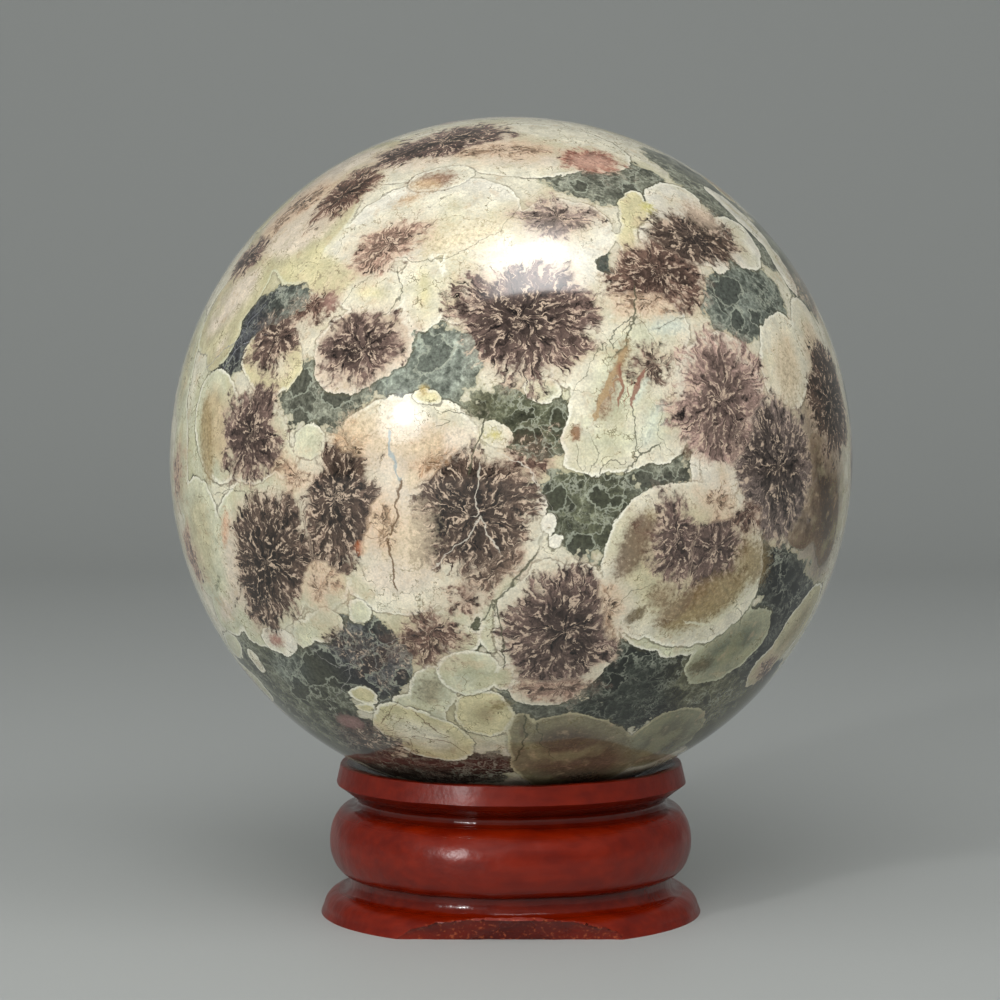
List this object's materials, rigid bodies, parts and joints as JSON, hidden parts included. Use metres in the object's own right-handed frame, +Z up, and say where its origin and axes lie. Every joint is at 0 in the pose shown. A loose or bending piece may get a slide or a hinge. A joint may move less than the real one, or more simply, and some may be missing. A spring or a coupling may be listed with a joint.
{
  "type": "decorative sphere",
  "caption": "Polished ball of flower-patterned stone resting in a turned and lacquered wooden ring stand.",
  "frame": {"origin": "centre of the ring stand's underside", "axes": "+Z up through the ball's centre; the flats sawn on the stand's foot face -Y and +Y, and -Y is the front"},
  "size_m": [0.055, 0.055, 0.0643],
  "materials": {
    "stone": "polished",
    "lacquered_wood": "gloss"
  },
  "bodies": {
    "root": {"stone_ball": "stone", "ring_stand": "lacquered_wood"}
  },
  "joints": []
}
